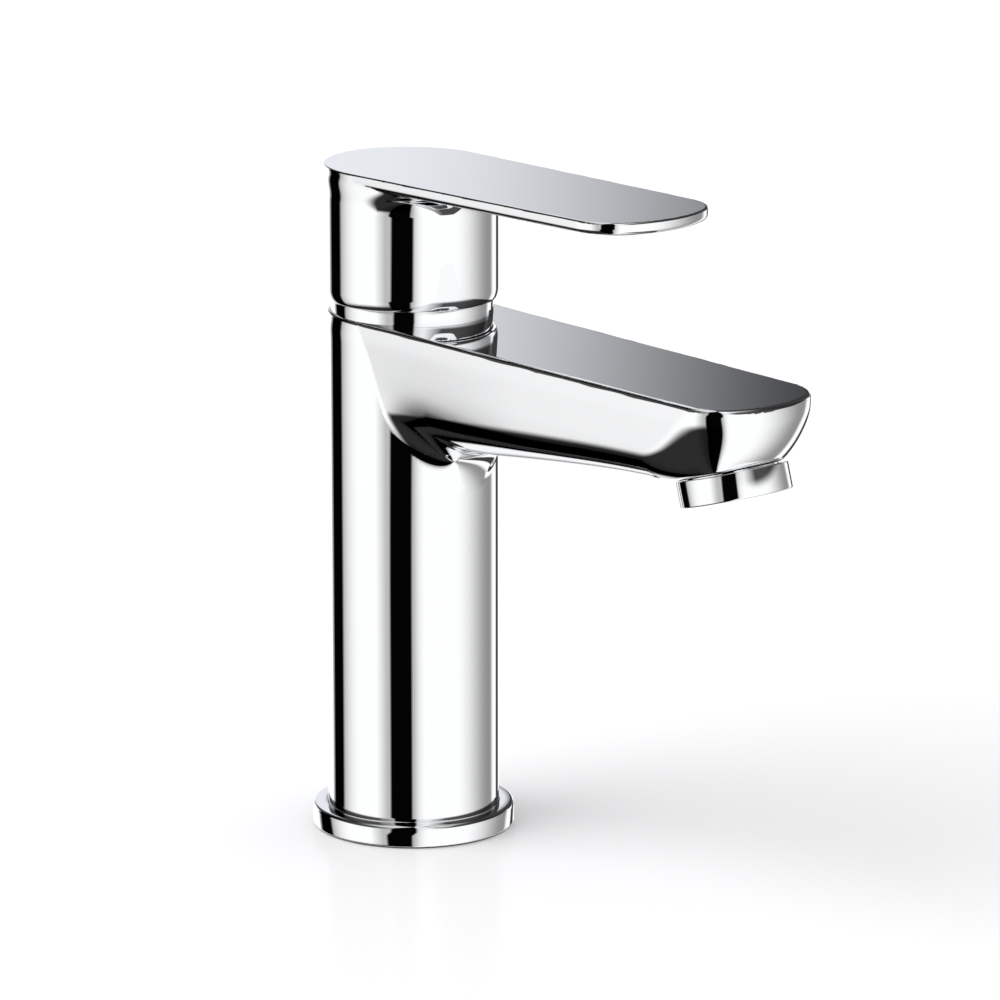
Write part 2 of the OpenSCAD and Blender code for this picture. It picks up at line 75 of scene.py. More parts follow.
BODY_LO, BODY_HI = box_mm("tap_body")
HANDLE_LO, HANDLE_HI = box_mm("handle")
FLANGE_LO, FLANGE_HI = box_mm("base_flange")
DOME_LO, DOME_HI = box_mm("dome_ring")
COLUMN_R = -BODY_LO[0]
SKIRT_R = -HANDLE_LO[0]
RIM_Z = HANDLE_LO[2]
SPOUT_TIP = BODY_HI[0]
LEVER_TIP = HANDLE_HI[0]
joint = {j["name"]: j for j in frame["joints"]}
PIVOT_Z = joint["lever_lift"]["pos_m"][2] / MM
print(f"column r {COLUMN_R:.2f}, skirt r {SKIRT_R:.2f}, spout tip {SPOUT_TIP:.1f}, pivot z {PIVOT_Z:.1f} mm")

# %% [markdown]
# ## Shader maths as Python
#
# Wiring Math nodes by hand is slow and hard to read. `Field` wraps one output socket. Adding, subtracting
# or multiplying two fields adds the Math node for us, and the reflected forms let a plain number stand on
# the left, as in `1 - mask`. `Net.node` adds any other node: settings first, then values or links.

# %% A socket that can be added and multiplied
class Field:
    def __init__(self, net, socket):
        self.net, self.socket = net, socket

    def math(self, operation, *others):
        return self.net.math(operation, self, *others)

    def __add__(self, other): return self.math("ADD", other)
    def __radd__(self, other): return self.net.math("ADD", other, self)
    def __sub__(self, other): return self.math("SUBTRACT", other)
    def __rsub__(self, other): return self.net.math("SUBTRACT", other, self)
    def __mul__(self, other): return self.math("MULTIPLY", other)
    def __rmul__(self, other): return self.net.math("MULTIPLY", other, self)
    def __truediv__(self, other): return self.math("DIVIDE", other)

    def clamp(self):
        return self.math("MAXIMUM", 0).math("MINIMUM", 1)


class Net:
    def __init__(self, tree):
        self.tree = tree
        tree.nodes.clear()

    def node(self, kind, settings=None, inputs=None, output=0):
        made = self.tree.nodes.new(kind)
        for name, value in (settings or {}).items():
            if name == "stops":
                self.set_stops(made.color_ramp, value)
            else:
                setattr(made, name, value)
        for name, value in (inputs or {}).items():
            if isinstance(value, Field):
                self.tree.links.new(value.socket, made.inputs[name])
            else:
                made.inputs[name].default_value = value
        return Field(self, made.outputs[output]) if made.outputs else made

    def math(self, operation, *values):
        return self.node("ShaderNodeMath", {"operation": operation}, dict(enumerate(values)))

    def set_stops(self, ramp, stops):
        while len(ramp.elements) < len(stops):
            ramp.elements.new(0.5)
        for element, (position, color) in zip(ramp.elements, stops):
            element.position, element.color = position, (*color, 1)

    def mix(self, amount, first, second):
        return self.node("ShaderNodeMix", {"data_type": "RGBA"}, {0: amount, 6: first, 7: second}, output=2)


print("Field and Net are ready")

# %% [markdown]
# ## The studio seen in the metal
#
# Chrome has no colour of its own. It shows the room, so the room is the material's most important part.
# A product studio is a white tent with a few black flags: each flag gives a crisp black stripe that draws
# the form. We could hang real cards round the tap. A world shader does the same with no noise: it turns
# each direction into a compass angle and a height, and paints soft-edged flags between two angles.
#
# Light Path separates what chrome mirrors from the plain white that the camera sees and that lights the
# floor.

# %% World: a white tent with black flags
world = bpy.data.worlds.new("studio")
bpy.context.scene.world = world
world.use_nodes = True
net = Net(world.node_tree)
direction = net.node("ShaderNodeTexCoord")
parts = net.node("ShaderNodeSeparateXYZ", {}, {0: direction})
dir_x, dir_y, dir_z = (Field(net, s) for s in parts.socket.node.outputs)
TO_DEGREES = 180 / math.pi
compass = net.math("ARCTAN2", dir_y, dir_x) * TO_DEGREES
height = net.math("ARCSINE", dir_z) * TO_DEGREES


def flag(start, end, soft=2.0, shift=0.0):
    """1 between two compass angles, with soft edges this many degrees wide."""
    middle, half = (start + end) / 2, (end - start) / 2
    away = net.math("WRAP", compass - middle - shift, 180, -180).math("ABSOLUTE")
    return ((half - away) / soft + 0.5).clamp()


def rise(start, end):
    """Climbs from 0 to 1 between two heights, in degrees above the horizon."""
    return ((height - start) / (end - start)).clamp()


def turn(start, end):
    """Climbs from 0 to 1 between two compass angles."""
    return ((compass - start) / (end - start)).clamp()


def smooth(value):
    return value * value * (3 - 2 * value)


BLACK = 0.998                                        # how much light a black flag takes away
MIRROR_LEVEL, PLAIN_LEVEL = 1.07, 1.02
WHITE, COOL_WHITE = (1, 1, 1, 1), (0.93, 0.95, 1.0, 1)
lean = 5 * smooth(rise(-14.5, -9))                   # the front flag leans a little
front_flag, left_flag = flag(-74.5, -45, 3, lean), flag(184, 209, 4)
beyond_middle = turn(-62, -60)                       # which side of the front flag's middle
before_front = turn(-94, -79) * (1 - beyond_middle)  # light falls off towards each flag
past_front, past_left = 1 - turn(-42, -26), 1 - turn(-151, -117)
wall = (1 - BLACK * left_flag) * (1 - BLACK * front_flag)
wall = wall * (1 - 0.5 * before_front) * (1 - 0.5 * past_front * past_front * beyond_middle)
wall = wall * (1 - 0.6 * past_left * past_left)
grey_card = smooth(turn(14, 78)) * (1 - turn(84, 92))
low_flag = flag(104, 118, 2) * (1 - rise(2, 6))
wall = wall * (1 - 0.72 * grey_card) * (1 - 0.95 * low_flag)
cloth = smooth(1 - rise(-37, -22)) * flag(176, 305, 30)    # black, on the table at the near left
ceiling = smooth(rise(8, 16)) * (1 - smooth(rise(52, 68))) * (1 - 0.85 * flag(-80, -12, 24))
above_line = smooth(rise(3, 8)) * flag(95, 160, 4)         # what the flat tops mirror to the camera
sky = 0.045 + 0.8 * smooth(turn(130.8, 136.6)) * (1 - turn(150, 160))
level = wall * (1 - 0.975 * cloth) * (1 - 0.93 * ceiling)
level = level * (1 - above_line) + sky * above_line
tone = net.mix(above_line, WHITE, COOL_WHITE)
mirrored = net.node("ShaderNodeBackground", {}, {"Color": tone, "Strength": level * MIRROR_LEVEL})
plain = net.node("ShaderNodeBackground", {}, {"Color": WHITE, "Strength": PLAIN_LEVEL})
path = net.node("ShaderNodeLightPath").socket.node.outputs
glossy = Field(net, path["Is Glossy Ray"])
seen = net.node("ShaderNodeMixShader", {}, {0: glossy, 1: plain, 2: mirrored})
net.node("ShaderNodeOutputWorld", {}, {0: seen})
print("world nodes:", len(world.node_tree.nodes))

# %% [markdown]
# ## Camera
#
# A long lens far away keeps uprights nearly parallel, as product photographers like. The camera stands at
# the front left, a little above the tap, and looks slightly to the right of the column.

# %% Camera and view
AZIMUTH, ELEVATION, DISTANCE = math.radians(45.36), math.radians(13.39), 1475.4
AIM_RIGHT, AIM_Z = 22.8, 86.8
back = Vector((math.sin(AZIMUTH) * math.cos(ELEVATION), -math.cos(AZIMUTH) * math.cos(ELEVATION),
               math.sin(ELEVATION)))
right = Vector((math.cos(AZIMUTH), math.sin(AZIMUTH), 0))
camera = bpy.data.objects.new("camera", bpy.data.cameras.new("camera"))
bpy.context.scene.collection.objects.link(camera)
camera.location = (right * AIM_RIGHT + Vector((0, 0, AIM_Z)) + back * DISTANCE) * MM
camera.rotation_mode = "QUATERNION"
camera.rotation_quaternion = (-back).to_track_quat("-Z", "Y")
camera.data.lens = 203.95
camera.data.clip_start = 0.05
bpy.context.scene.camera = camera
bpy.context.scene.view_settings.view_transform = "Standard"
print("camera at", [round(v, 3) for v in camera.location])

# %% [markdown]
# ## Finishes
#
# Every material is procedural and hangs on Object coordinates, so its grain keeps its real size. One
# function covers them all, because a finish is a handful of facts: colour, metal or not, how rough, how
# much the roughness wanders, and how deep the surface grain is. Polished chrome is nearly a perfect
# mirror. The little wander in its roughness stands for wiped water marks, and keeps it from looking fake.

# %% Finishes
def finish(name, color, metallic=0.0, rough=0.4, wander=0.1, patch_mm=9.0, grain_mm=0.5, depth=0.0,
           lines=0.0, tint=0.06):
    """A procedural finish. `lines` adds the fine grooves a lathe leaves, level rings about Z."""
    paint = bpy.data.materials.new(name)
    paint.use_nodes = True
    net = Net(paint.node_tree)
    place = net.node("ShaderNodeTexCoord", output=3)
    patch = net.node("ShaderNodeTexNoise", {}, {"Vector": place, "Scale": 1 / (patch_mm * MM), "Detail": 4.0})
    grain = net.node("ShaderNodeTexNoise", {}, {"Vector": place, "Scale": 1 / (grain_mm * MM), "Detail": 3.0})
    roughness = (patch - 0.5) * (2 * wander) + rough + (grain - 0.5) * (0.4 * wander)
    shade = (patch - 0.5) * (2 * tint) + 1 - tint
    tone = net.mix(shade.clamp(), tuple(c * 0.6 for c in color) + (1,), (*color, 1))
    inputs = {"Base Color": tone, "Metallic": metallic, "Roughness": roughness.clamp()}
    if depth or lines:
        height = grain * depth
        if lines:
            axes = net.node("ShaderNodeSeparateXYZ", {}, {0: place}, output=2)
            height = height + (axes * (2 * math.pi / (0.35 * MM))).math("SINE") * lines
        bumped = net.node("ShaderNodeBump", {}, {"Strength": 1.0, "Distance": MM, "Height": height})
        inputs["Normal"] = bumped
    shader = net.node("ShaderNodeBsdfPrincipled", {}, inputs)
    net.node("ShaderNodeOutputMaterial", {}, {0: shader})
    return paint


FINISH = {
    "polished_chrome": finish("polished_chrome", (0.93, 0.935, 0.945), 1.0, 0.022, 0.012, 14, tint=0.01),
    "brass": finish("brass", (0.78, 0.60, 0.30), 1.0, 0.24, 0.08, 5, 0.3, 0.004, lines=0.002),
    "steel": finish("steel", (0.60, 0.61, 0.63), 1.0, 0.28, 0.08, 3, 0.25, 0.004, lines=0.001),
    "black_rubber": finish("black_rubber", (0.022, 0.022, 0.024), 0.0, 0.68, 0.12, 4, 0.2, 0.02),
    "cartridge_plastic": finish("cartridge_plastic", (0.80, 0.80, 0.75), 0.0, 0.42, 0.08, 6, 0.3, 0.006),
    "yoke_plastic": finish("yoke_plastic", (0.10, 0.11, 0.13), 0.0, 0.38, 0.08, 5, 0.3, 0.006),
    "slide_plastic": finish("slide_plastic", (0.86, 0.86, 0.84), 0.0, 0.34, 0.06, 6, 0.3, 0.003),
    "disc_ceramic": finish("disc_ceramic", (0.88, 0.86, 0.80), 0.0, 0.13, 0.05, 7, 0.2, 0.001),
    "plug_plastic": finish("plug_plastic", (0.58, 0.60, 0.63), 0.0, 0.30, 0.06, 3, 0.3, 0.003),
    "screen_plastic": finish("screen_plastic", (0.78, 0.79, 0.80), 0.0, 0.40, 0.08, 4, 0.2, 0.006),
}
for node in frame["nodes"].values():
    for holder in node.material_slots:
        holder.material = FINISH[holder.material.name.split(".")[0]]
print("finishes:", ", ".join(FINISH))

# %% [markdown]
# ## A casting as a formula
#
# The body is one polished casting: a round column and a flat spout that melt into each other. Polished
# metal shows every lump, so a hand-pulled mesh would look dented. Instead we write a *distance formula*:
# negative inside the metal, zero on its skin, positive outside. Two helpers join such formulas:
#
# - `round_off` keeps what lies inside both shapes and rolls a radius along the edge where they meet
# - `round_in` keeps either shape and rolls a hollow fillet into the corner, as a ball would leave it

# %% Rounded joins of distance formulas
def round_off(a, b, r):
    u, v = np.maximum(a + r, 0), np.maximum(b + r, 0)
    return np.minimum(np.maximum(a, b), -r) + np.hypot(u, v)


def round_in(a, b, lean, r):
    """Rolling-ball fillet. `lean` is the cosine between the two shapes' outward directions."""
    u, v = r - a, r - b
    lean = np.clip(lean, -0.999, 0.999)
    across = np.sqrt(np.maximum(u * u + v * v - 2 * lean * u * v, 0) / (1 - lean * lean))
    ball_touches = (u > 0) & (v > 0) & (u > lean * v) & (v > lean * u)
    return np.where(ball_touches, r - across, np.minimum(a, b))


def slope_of(shape, points, reach=0.02):
    """Outward direction of a formula, from small steps along each axis."""
    steps = np.eye(3) * reach
    return np.stack([(shape(points + s) - shape(points - s)) / (2 * reach) for s in steps], axis=1)


def fillet_on_upright(points, upright, other, r, radius_for=None):
    """Joins an upright round piece and another formula by `round_in`.

    `radius_for` may turn the cosine between the two skins into a radius of its own.
    """
    a, b = upright(points), other(points)
    close = (a < r) & (b < r) & (np.maximum(a, b) > -1)
    value = np.minimum(a, b)
    if close.any():
        near = points[close]
        slope = slope_of(other, near)
        slope /= np.maximum(np.linalg.norm(slope, axis=1), 1e-6)[:, None]
        radial = np.hypot(near[:, 0], near[:, 1]) + 1e-6
        lean = (slope[:, 0] * near[:, 0] + slope[:, 1] * near[:, 1]) / radial
        value[close] = round_in(a[close], b[close], lean, radius_for(lean) if radius_for else r)
    return value


def ease(x, start, end):
    t = np.clip((x - start) / (end - start), 0, 1)
    return t * t * (3 - 2 * t)


print("round_off of two faces at a sharp corner:", round(float(round_off(0.0, 0.0, 2.0)), 3))

# %% [markdown]
# ## From formula to mesh
#
# `skin` samples the formula on a grid and puts one point in every grid cell that the skin crosses, then
# joins the points of neighbouring cells with quads. This is called surface nets. A few Newton steps slide
# every point onto the exact skin. The formula's slope also gives each point a perfect shading normal, so
# reflections flow without ripples.

# %% Surface nets with exact normals
GRID_MM = 0.64


def skin(shape, low, high, step=GRID_MM):
    axes = [np.arange(a - 2 * step, b + 3 * step, step) for a, b in zip(low, high)]
    size = [len(a) for a in axes]
    grid = np.stack(np.meshgrid(*axes, indexing="ij"), axis=-1).reshape(-1, 3)
    value = np.concatenate([shape(part) for part in np.array_split(grid, 24)]).reshape(size)
    inside = value < 0
    cells = np.zeros([n - 1 for n in size] + [3])
    hits = np.zeros([n - 1 for n in size])
    corner = [slice(0, -1), slice(1, None)]
    for axis in range(3):
        others = [k for k in range(3) if k != axis]
        for i in (0, 1):
            for j in (0, 1):
                first, second = [None] * 3, [None] * 3
                first[axis], second[axis] = corner[0], corner[1]
                for k, pick in zip(others, (i, j)):
                    first[k] = second[k] = corner[pick]
                a, b = value[tuple(first)], value[tuple(second)]
                crossed = (a < 0) != (b < 0)
                place = np.where(crossed, a / np.where(crossed, a - b, 1), 0)
                hits += crossed
                cells[..., axis] += place
                cells[..., others[0]] += crossed * i
                cells[..., others[1]] += crossed * j
    used = hits > 0
    number = np.full(used.shape, -1)
    number[used] = np.arange(used.sum())
    origin = np.array([a[0] for a in axes])
    points = origin + step * (np.argwhere(used) + cells[used] / hits[used][:, None])
    quads = []
    for axis in range(3):
        u, v = (axis + 1) % 3, (axis + 2) % 3
        ahead = np.roll(inside, -1, axis)
        for flip, edge in ((False, inside & ~ahead), (True, ~inside & ahead)):
            at = np.argwhere(edge)
            at = at[(at[:, axis] < size[axis] - 1) & (at[:, u] > 0) & (at[:, v] > 0)]
            at = at[(at[:, u] < size[u] - 1) & (at[:, v] < size[v] - 1)]
            ring = []
            for du, dv in ((1, 1), (0, 1), (0, 0), (1, 0)):
                shift = np.zeros(3, int)
                shift[u], shift[v] = du, dv
                ring.append(number[tuple((at - shift).T)])
            ring = np.stack(ring, axis=1)
            quads.append(ring[:, ::-1] if flip else ring)
    for _ in range(5):
        slope = slope_of(shape, points)
        points = points - slope * (shape(points) / np.maximum((slope ** 2).sum(1), 0.05))[:, None]
    return points, np.concatenate(quads)


def new_piece(name, points, faces):
    mesh = bpy.data.meshes.new(name)
    mesh.from_pydata((np.asarray(points) * MM).tolist(), [], np.asarray(faces).tolist())
    mesh.shade_smooth()
    piece = bpy.data.objects.new(name, mesh)
    bpy.context.scene.collection.objects.link(piece)
    return piece


def polish(piece, shape, within=0.004):
    """Gives the loops that lie on a formula's skin the formula's own normal."""
    mesh = piece.data
    points = np.empty(len(mesh.vertices) * 3)
    mesh.vertices.foreach_get("co", points)
    points = points.reshape(-1, 3) / MM
    slope = slope_of(shape, points)
    slope /= np.maximum(np.linalg.norm(slope, axis=1), 1e-6)[:, None]
    on_skin = np.abs(shape(points)) < within
    vertex = np.empty(len(mesh.loops), int)
    mesh.loops.foreach_get("vertex_index", vertex)
    mesh.set_sharp_from_angle(angle=math.radians(30))
    corner_normal = np.empty(len(mesh.loops) * 3)
    mesh.corner_normals.foreach_get("vector", corner_normal)
    corner_normal = corner_normal.reshape(-1, 3)
    normal = slope[vertex]
    agrees = on_skin[vertex] & ((normal * corner_normal).sum(1) > 0.7)
    normal = np.where(agrees[:, None], normal, corner_normal)
    mesh.normals_split_custom_set(normal.tolist())
    print(f"{piece.name}: {len(mesh.polygons)} faces, {agrees.mean():.0%} of corners on the polished skin")


def carve(piece, *tools):
    """Cuts closed tool meshes out of a piece with exact booleans and deletes the tools."""
    for tool in tools:
        cut = piece.modifiers.new("cut", "BOOLEAN")
        cut.operation, cut.solver, cut.object = "DIFFERENCE", "EXACT", tool
    made = bpy.data.meshes.new_from_object(piece.evaluated_get(bpy.context.evaluated_depsgraph_get()))
    piece.modifiers.clear()
    piece.data = made
    made.name = piece.name
    for tool in tools:
        bpy.data.objects.remove(tool)


print(f"grid step {GRID_MM} mm")

# %% [markdown]
# ## Turned pieces
#
# Rings are turned on a lathe: a closed section, swept round an axis. The section is a short list of
# corners, each with its own radius, and `rounded` replaces a corner by a small arc. Tiny radii matter:
# they catch the thin bright lines that make an edge look machined.

# %% Lathe
def rounded(corners, steps=5):
    """Closed section. Each corner is (radius from axis, height, rounding)."""
    section = []
    for i, (r, z, rounding) in enumerate(corners):
        here = Vector((r, z))
        if rounding == 0:
            section.append(here)
            continue
        before = (Vector(corners[i - 1][:2]) - here).normalized()
        after = (Vector(corners[(i + 1) % len(corners)][:2]) - here).normalized()
        half = before.angle(after) / 2
        centre = here + (before + after).normalized() * rounding / math.sin(half)
        start = here + before * rounding / math.tan(half) - centre
        end = here + after * rounding / math.tan(half) - centre
        sweep = start.angle(end)
        for k in range(steps + 1):
            part = k / steps
            arm = start * math.sin((1 - part) * sweep) + end * math.sin(part * sweep)
            section.append(centre + arm / math.sin(sweep))
    return section


def turned(name, corners, place=None, sides=192):
    section = rounded(corners)
    angles = np.arange(sides) * 2 * math.pi / sides
    points = np.array([[r * math.cos(a), r * math.sin(a), z] for a in angles for r, z in section])
    n = len(section)
    faces = [(s * n + k, (s + 1) % sides * n + k, (s + 1) % sides * n + (k + 1) % n, s * n + (k + 1) % n)
             for s in range(sides) for k in range(n)]
    if place is not None:
        points = np.array([place @ Vector(p) for p in points])
    piece = new_piece(name, points, faces)
    made = bmesh.new()
    made.from_mesh(piece.data)
    bmesh.ops.recalc_face_normals(made, faces=made.faces)
    made.to_mesh(piece.data)
    made.free()
    piece.data.set_sharp_from_angle(angle=math.radians(28))
    return piece


def tool_object(tool):
    """Turns a bmesh into an object that `carve` can use."""
    mesh = bpy.data.meshes.new("tool")
    tool.to_mesh(mesh)
    tool.free()
    made = bpy.data.objects.new("tool", mesh)
    bpy.context.scene.collection.objects.link(made)
    return made


def tube_tool(r, low, high, sides=128):
    """A closed cylinder along Z, for carving."""
    tool = bmesh.new()
    bmesh.ops.create_cone(tool, cap_ends=True, segments=sides, radius1=r * MM, radius2=r * MM,
                          depth=(high - low) * MM, matrix=Matrix.Translation((0, 0, (low + high) / 2 * MM)))
    return tool_object(tool)


def turned_tool(corners):
    """A ring with sharp corners, for carving."""
    return turned("tool", [(r, z, 0) for r, z in corners], sides=144)


def square_tool(half, low, high):
    """A square bar along Z."""
    corners = [(-half, -half), (half, -half), (half, half), (-half, half)]
    points = [(x, y, z) for z in (low, high) for x, y in corners]
    faces = [(3, 2, 1, 0), (4, 5, 6, 7)] + [(i, (i + 1) % 4, (i + 1) % 4 + 4, i + 4) for i in range(4)]
    return new_piece("tool", points, faces)


def side_tool(r, z, start, end):
    """A round bar that points backwards, along -X."""
    tool = tube_tool(r, start, end, 48)
    tool.data.transform(Matrix.Translation((0, 0, z * MM)) @ Matrix.Rotation(-math.pi / 2, 4, "Y"))
    return tool


print("corners in a rounded square:", len(rounded([(1, 0, .1), (2, 0, .1), (2, 1, .1), (1, 1, .1)])))

# %% [markdown]
# ## The outline seen from above
#
# Spout and lever share one idea: straight sides that leave the round part as tangents, narrow slightly,
# and end in a shallow nose arc with two round corners. The sides and the round back together are one
# smooth curve, which is why no crease shows where the column ends and the spout begins.

# %% Plan outline
def plan(points, round_r, tip_x, tip_half, corner_r, nose_r):
    """Distance to the outline. Four stretches: nose arc, corner arc, straight side, round back."""
    x, y = points[:, 0], np.abs(points[:, 1])
    lean = math.asin((round_r - tip_half) / (tip_x - corner_r))
    side_x, side_y = math.sin(lean), math.cos(lean)
    nose_x = tip_x - nose_r
    spread = math.asin((round_r - corner_r - side_x * nose_x) / (nose_r - corner_r)) - lean
    corner_x = nose_x + (nose_r - corner_r) * math.cos(spread)
    corner_y = (nose_r - corner_r) * math.sin(spread)
    on_nose = (x > nose_x) & (y * math.cos(spread) < (x - nose_x) * math.sin(spread))
    on_side = (x - corner_x) * side_y < (y - corner_y) * side_x
    on_back = x * side_y < y * side_x
    nose = np.hypot(np.maximum(x - nose_x, 0), y) - nose_r
    value = np.where(on_nose, nose, np.hypot(x - corner_x, y - corner_y) - corner_r)
    value = np.where(on_side, np.maximum(x * side_x + y * side_y - round_r, nose), value)
    return np.where(on_back, np.hypot(x, y) - round_r, value)


SPOUT_NOSE = (20.4, 12.2, 32.0)     # half width at the tip, corner radius, nose radius
LEVER_NOSE = (20.8, 13.5, 33.0)
probe = np.array([[SPOUT_TIP, 0, 0], [0, COLUMN_R, 0], [0, 0, 0]])
print("outline at tip, side and axis:", plan(probe, COLUMN_R, SPOUT_TIP, *SPOUT_NOSE).round(2))

# %% [markdown]
# ## The body
#
# The spout is the plan outline, cut by a top plane that falls gently to the tip and by a belly that is
# lowest along the middle. The lower edge has a small radius along the sides and a large one round the
# nose. Below the nose a flat face, tilted forward, carries the aerator. The column is a plain cylinder and
# `round_in` blends it into the spout's underside. A faint roll under the top edge is where a polishing
# wheel leans in on the real casting.

# %% Body formula
TOP_Z, TOP_FALL = 137.6, math.tan(math.radians(2.3))
BELLY_Z, BELLY_RISE, BELLY_R = 103.6, 0.0594, 44.0
BELLY_LEVELS_X, BELLY_BEND, NOSE_DROP = 90.0, 12.0, 0.4      # where the belly levels off, how softly
FACE_EDGE_R = 0.8
SIDE_EDGE_R, NOSE_EDGE_R, TOP_EDGE_R, BLEND_R = 6.0, 22.0, 1.0, 13.0
SIDE_CROWN = 0.0125     # the side's lower half curves in, with a radius of 1 / (2 * this)
ROOT_TUCK = 2.6         # how far the side tucks in at the spout's root
FACE_TILT = math.radians(15.7)
FACE = np.array([SPOUT_TIP - 17.26, 0.0, 113.48])


def top_roll(below_top):
    """How far the upright walls draw in towards the top edge."""
    return 0.16 * np.logaddexp(0, (4.2 - below_top) * 1.6) / 1.6


def spout_formula(points):
    x, y, z = points.T
    below_top = TOP_Z - TOP_FALL * x - z
    nose = ease(x, 102, 125)
    outline = plan(points, COLUMN_R - 0.02, SPOUT_TIP, *SPOUT_NOSE) + top_roll(below_top)
    outline = outline + SIDE_CROWN * ease(x, 4, 26) * (1 - nose) * np.maximum(below_top - 12, 0) ** 2
    outline = outline + ROOT_TUCK * (1 - ease(x, 10, 60)) * np.clip(below_top / 27, 0, 1.2)
    climb = (x + BELLY_LEVELS_X - np.hypot(x - BELLY_LEVELS_X, BELLY_BEND)) / 2
    belly = BELLY_Z + BELLY_RISE * climb - NOSE_DROP * nose + y * y / (2 * BELLY_R)
    belly_slope = np.sqrt(1 + BELLY_RISE ** 2 + (y / BELLY_R) ** 2)
    edge_r = SIDE_EDGE_R + (NOSE_EDGE_R - SIDE_EDGE_R) * nose
    form = round_off(outline, (belly - z) / belly_slope, edge_r)
    face = (x - FACE[0]) * math.sin(FACE_TILT) - (z - FACE[2]) * math.cos(FACE_TILT)
    return round_off(form, face, FACE_EDGE_R)


def column_formula(points):
    x, y, z = points.T
    return np.hypot(x, y) - COLUMN_R + top_roll(TOP_Z - TOP_FALL * x - z)


def blend_radius(lean):
    """The blend fades away where spout and column already face the same way."""
    return BLEND_R * (1.001 - np.clip(lean, 0, 1) ** 3)


def body_formula(points):
    value = fillet_on_upright(points, column_formula, spout_formula, BLEND_R, blend_radius)
    above_top = (points[:, 2] - TOP_Z + TOP_FALL * points[:, 0]) / math.hypot(1, TOP_FALL)
    return np.maximum(round_off(value, above_top, TOP_EDGE_R), BODY_LO[2] - points[:, 2])


points, faces = skin(body_formula, (-COLUMN_R, -COLUMN_R, BODY_LO[2]), (SPOUT_TIP, COLUMN_R, BODY_HI[2]))
body_casting = new_piece("body_casting", points, faces)
COLUMN_WALL, ADAPTER_HEAD, CHAMBER_R, CHAMBER_Z = 3.5, 4.5, 18.0, 106.0
BAND_SINK, PAST_TOP = 1.4, 150        # the dome ring sits this deep in the body's top
column_bore_top = box_mm("inlet_adapter_hot")[1][2] - ADAPTER_HEAD
carve(body_casting, tube_tool(COLUMN_R - COLUMN_WALL, 0, column_bore_top),
      tube_tool(CHAMBER_R, CHAMBER_Z, PAST_TOP),
      tube_tool(DOME_HI[0] + 0.1, TOP_Z - BAND_SINK, PAST_TOP, 192))
polish(body_casting, body_formula)
body_casting.data.materials.append(FINISH["polished_chrome"])
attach(body_casting, "root")
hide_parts("tap_body")

# %% [markdown]
# ## The lever
#
# The lever is a short drum with a thin blade on top. Its outline is the same family as the spout's. The
# drum's lower rim draws in slightly, the blade's edge is rounded more below than above, and the hollow
# fillet under the blade gives the dark pocket that chrome shows there.

# %% Lever formula
RIM_FLAT, RIM_ROUND = 0.9, 3.0
LEVER_Z, LEVER_FALL = 175.9, math.tan(math.radians(1.2))
DOME_R = 23.2
BLADE_T, BLADE_UNDER_R, BLADE_TOP_R, BLADE_FILLET_R = 3.3, 1.5, 0.55, 6.5


def drum_formula(points):
    x, y, z = points.T
    up = np.clip((z - RIM_Z) / RIM_ROUND, 0, 1)
    wall = np.hypot(x, y) - SKIRT_R + RIM_FLAT * (1 - np.sqrt(1 - (1 - up) ** 2))
    return round_off(wall, RIM_Z - z, 0.3)


def blade_formula(points):
    x, y, z = points.T
    outline = plan(points, SKIRT_R - 0.03, LEVER_TIP, *LEVER_NOSE)
    return round_off(outline, LEVER_Z - BLADE_T - LEVER_FALL * x - z, BLADE_UNDER_R)


def lever_formula(points):
    value = fillet_on_upright(points, drum_formula, blade_formula, BLADE_FILLET_R)
    return round_off(value, points[:, 2] - LEVER_Z + LEVER_FALL * points[:, 0], BLADE_TOP_R)


def ball_tool(r, centre_z):
    """A closed sphere on the tap's axis, for carving."""
    tool = bmesh.new()
    bmesh.ops.create_uvsphere(tool, u_segments=144, v_segments=72, radius=r * MM,
                              matrix=Matrix.Translation((0, 0, centre_z * MM)))
    return tool_object(tool)


spindle_top = box_mm("spindle")[1][2]
PLUG_LO, PLUG_HI = box_mm("indicator_plug")
PLUG_Z, PLUG_R = (PLUG_LO[2] + PLUG_HI[2]) / 2, (PLUG_HI[2] - PLUG_LO[2]) / 2 + 0.05
SOCKET_GAP, BOSS_R, DRUM_BORE_R, HOLLOW_TOP = 0.375, 8.5, 19.5, 171.5
SQUARE_HALF, SCREW_R = 3.55, 2.5
points, faces = skin(lever_formula, (-SKIRT_R, -SKIRT_R, RIM_Z), (LEVER_TIP, SKIRT_R, LEVER_Z + 0.6),
                     step=GRID_MM * 0.72)
lever_casting = new_piece("lever_casting", points, faces)
carve(lever_casting, ball_tool(DOME_R + SOCKET_GAP, PIVOT_Z),
      turned_tool([(BOSS_R, RIM_Z + 4), (DRUM_BORE_R, RIM_Z + 4), (DRUM_BORE_R, HOLLOW_TOP),
                   (BOSS_R, HOLLOW_TOP)]))
carve(lever_casting, square_tool(SQUARE_HALF, PIVOT_Z, spindle_top + 0.02),
      side_tool(SCREW_R, PLUG_Z, 0, 10.5), side_tool(PLUG_R, PLUG_Z, 17.5, 30))
polish(lever_casting, lever_formula)
lever_casting.data.materials.append(FINISH["polished_chrome"])
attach(lever_casting, "lever")
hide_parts("handle")

# %% [markdown]
# ## Rings of the tap
#
# The dome ring is a slice of a sphere about the lever's pivot, so the lever's socket rolls over it with an
# even gap. `bow` gives the points of such an arc. The aerator's ring is turned upright, then `AERATOR`
# leans it onto the spout's tilted face.

